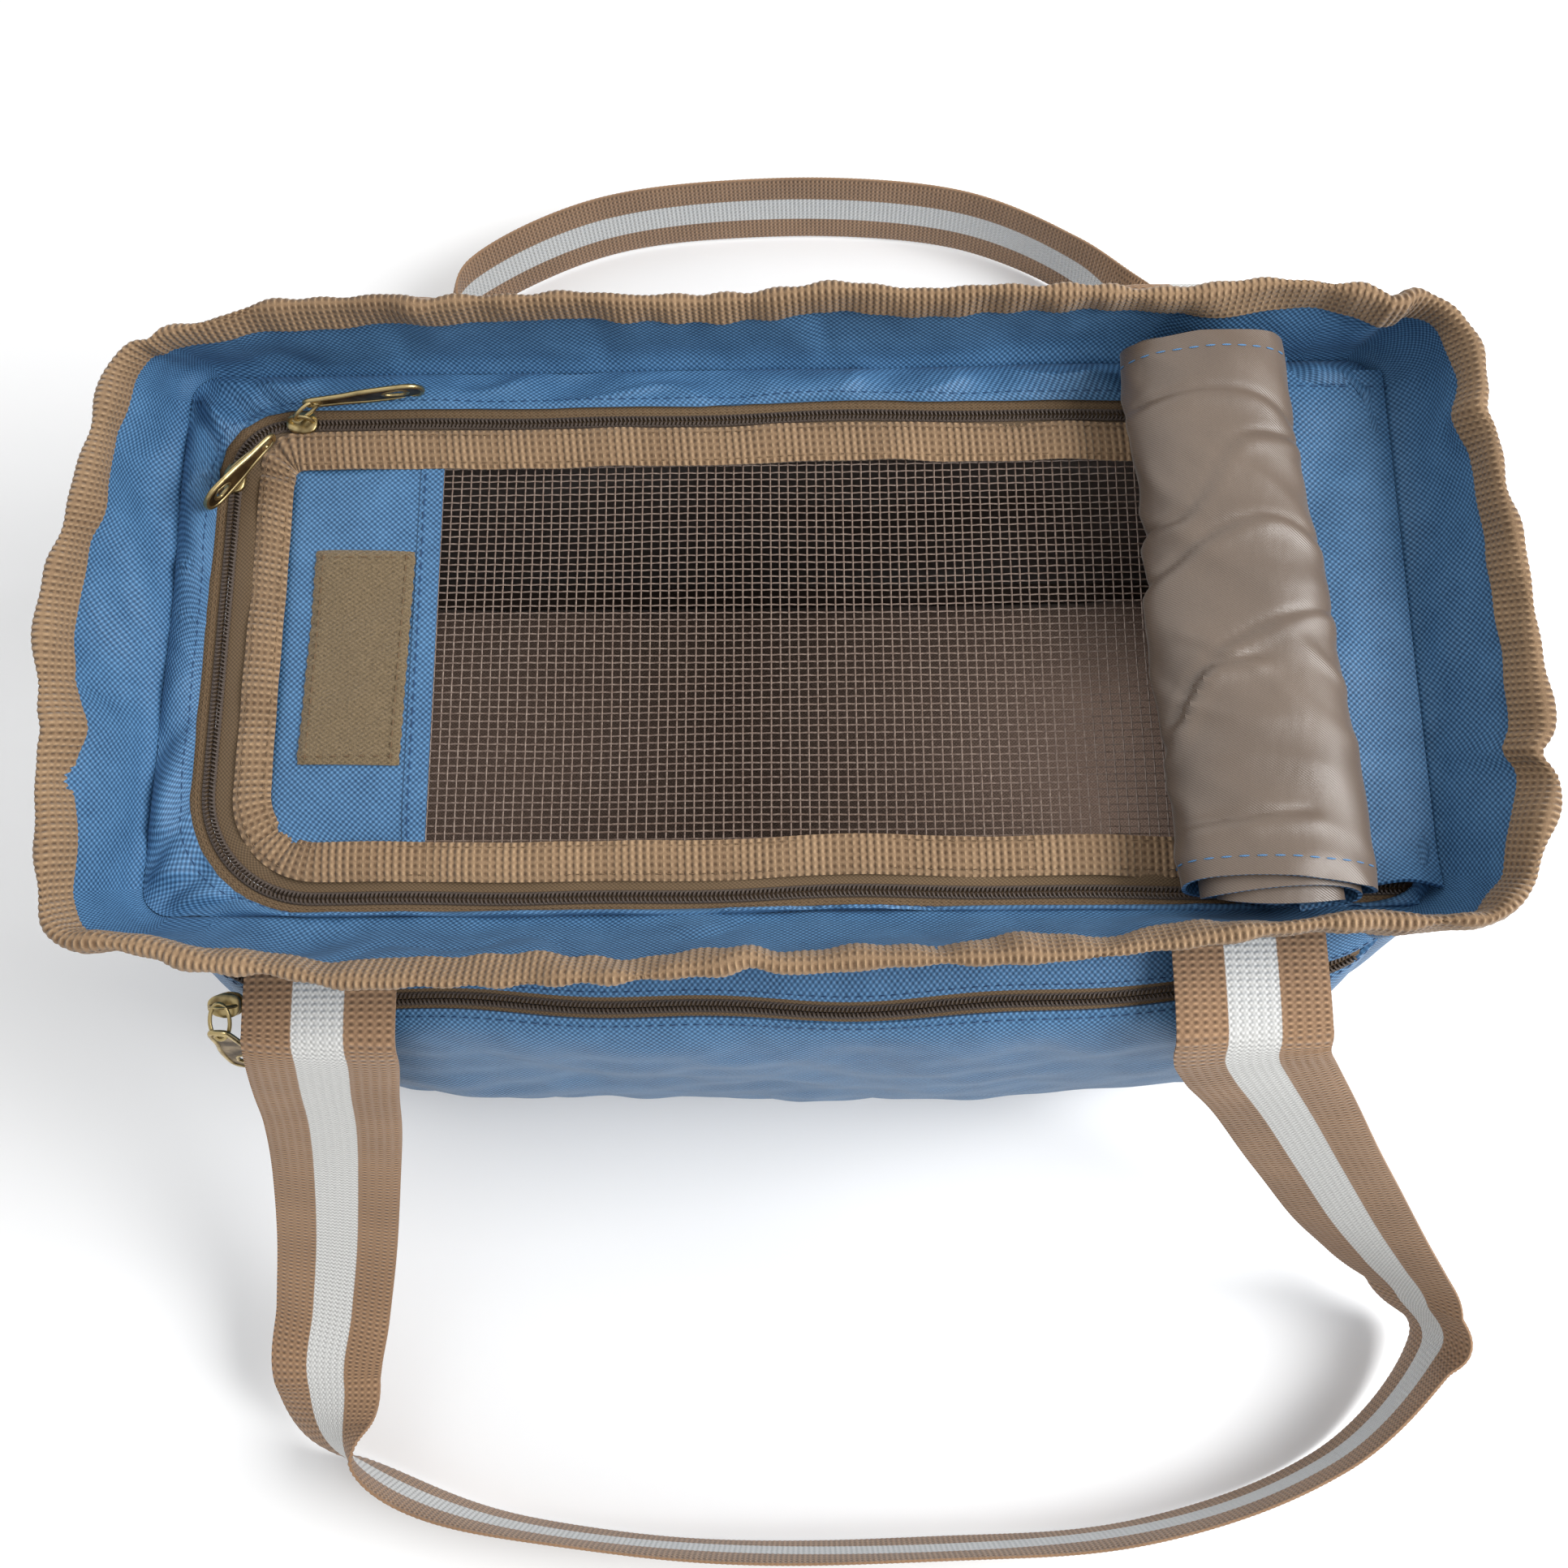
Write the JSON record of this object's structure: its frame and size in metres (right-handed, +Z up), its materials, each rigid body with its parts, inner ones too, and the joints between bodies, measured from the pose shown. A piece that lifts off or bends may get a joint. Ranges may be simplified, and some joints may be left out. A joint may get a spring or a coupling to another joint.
{
  "type": "pet transport carrier",
  "caption": "Soft-sided pet carrier with a zipped mesh top door, a rolled privacy cover, two webbing handles and a front pocket.",
  "frame": {"origin": "centre of the base, on the surface that the carrier stands on", "axes": "+Z up, +X along the carrier towards the end where the door is hinged, +Y towards the back handle"},
  "size_m": [0.528, 0.6614, 0.2965],
  "materials": {
    "blue_oxford": "satin woven",
    "tan_binding": "ribbed tape",
    "brown_mesh": "coated open mesh",
    "brown_lining": "matt woven",
    "brown_satin": "satin",
    "base_board": "matt",
    "mat_fleece": "quilted",
    "olive_tape": "woven tape",
    "zip_coil": "semi-gloss",
    "hook_and_loop": "loop pile",
    "striped_webbing": "ribbed webbing with a pale centre stripe",
    "antique_brass": "brushed antique"
  },
  "bodies": {
    "carrier": {"base_panel": "blue_oxford", "base_board": "base_board", "base_mat": "mat_fleece", "base_piping": "blue_oxford", "cabin_lining": "brown_lining", "front_panel": "blue_oxford", "back_panel": "blue_oxford", "left_end_panel": "blue_oxford", "right_end_panel": "blue_oxford", "left_window_mesh": "brown_mesh", "right_window_mesh": "brown_mesh", "left_window_binding": "tan_binding", "right_window_binding": "tan_binding", "front_left_piping": "blue_oxford", "front_right_piping": "blue_oxford", "back_left_piping": "blue_oxford", "back_right_piping": "blue_oxford", "rim_binding": "tan_binding", "top_frame": "blue_oxford", "frame_zip_tape": "olive_tape", "frame_zip_coil": "zip_coil", "pocket_panel": "blue_oxford", "pocket_zip_tape": "olive_tape", "pocket_zip_coil": "zip_coil", "front_left_handle_anchor": "striped_webbing", "front_right_handle_anchor": "striped_webbing", "back_left_handle_anchor": "striped_webbing", "back_right_handle_anchor": "striped_webbing", "left_ring_tab": "blue_oxford", "right_ring_tab": "blue_oxford"},
    "door": {"door_mesh": "brown_mesh", "door_end_panel": "blue_oxford", "door_binding": "tan_binding", "door_patch": "hook_and_loop", "door_zip_tape": "olive_tape", "door_zip_coil": "zip_coil", "cover_flap": "blue_oxford", "cover_roll": "brown_satin"},
    "front_handle": {"front_handle": "striped_webbing"},
    "back_handle": {"back_handle": "striped_webbing"},
    "back_zip_slider": {"back_zip_slider": "antique_brass"},
    "back_zip_pull": {"back_zip_pull": "antique_brass"},
    "left_zip_slider": {"left_zip_slider": "antique_brass"},
    "left_zip_pull": {"left_zip_pull": "antique_brass"},
    "pocket_zip_slider": {"pocket_zip_slider": "antique_brass"},
    "pocket_zip_pull": {"pocket_zip_pull": "antique_brass"},
    "left_strap_ring": {"left_strap_ring": "antique_brass"},
    "right_strap_ring": {"right_strap_ring": "antique_brass"}
  },
  "joints": [
    {"name": "door_hinge", "type": "hinge", "parent": "carrier", "child": "door", "pos_m": [0.211, 0, 0.257], "axis": [0, 1, 0], "range_deg": [0, 68]},
    {"name": "front_handle_swing", "type": "hinge", "parent": "carrier", "child": "front_handle", "pos_m": [0, -0.141, 0.252], "axis": [-1, 0, 0], "range_deg": [0, 135]},
    {"name": "back_handle_swing", "type": "hinge", "parent": "carrier", "child": "back_handle", "pos_m": [0, 0.1315, 0.254], "axis": [1, 0, 0], "range_deg": [0, 135]},
    {"name": "back_zip_slide", "type": "slide", "parent": "carrier", "child": "back_zip_slider", "axis": [1, 0, 0], "range_m": [0, 0.235]},
    {"name": "back_pull_swing", "type": "hinge", "parent": "back_zip_slider", "child": "back_zip_pull", "pos_m": [-0.1635, 0.0835, 0.2656], "axis": [0.1191, -0.9929, 0], "range_deg": [0, 100]},
    {"name": "left_zip_slide", "type": "slide", "parent": "carrier", "child": "left_zip_slider", "axis": [0, -1, 0], "range_m": [0, 0.1]},
    {"name": "left_pull_swing", "type": "hinge", "parent": "left_zip_slider", "child": "left_zip_pull", "pos_m": [-0.1791, 0.0663, 0.2679], "axis": [-0.7781, 0.6281, 0], "range_deg": [0, 100]},
    {"name": "pocket_zip_slide", "type": "slide", "parent": "carrier", "child": "pocket_zip_slider", "axis": [1, 0, 0], "range_m": [0, 0.295]},
    {"name": "pocket_pull_swing", "type": "hinge", "parent": "pocket_zip_slider", "child": "pocket_zip_pull", "pos_m": [-0.186, -0.13612, 0.24441], "axis": [-1, 0, 0], "range_deg": [0, 100]},
    {"name": "left_ring_swing", "type": "hinge", "parent": "carrier", "child": "left_strap_ring", "pos_m": [-0.241, -0.007, 0.277], "axis": [0, 1, 0], "range_deg": [0, 110]},
    {"name": "right_ring_swing", "type": "hinge", "parent": "carrier", "child": "right_strap_ring", "pos_m": [0.241, -0.007, 0.277], "axis": [0, -1, 0], "range_deg": [0, 110]}
  ]
}
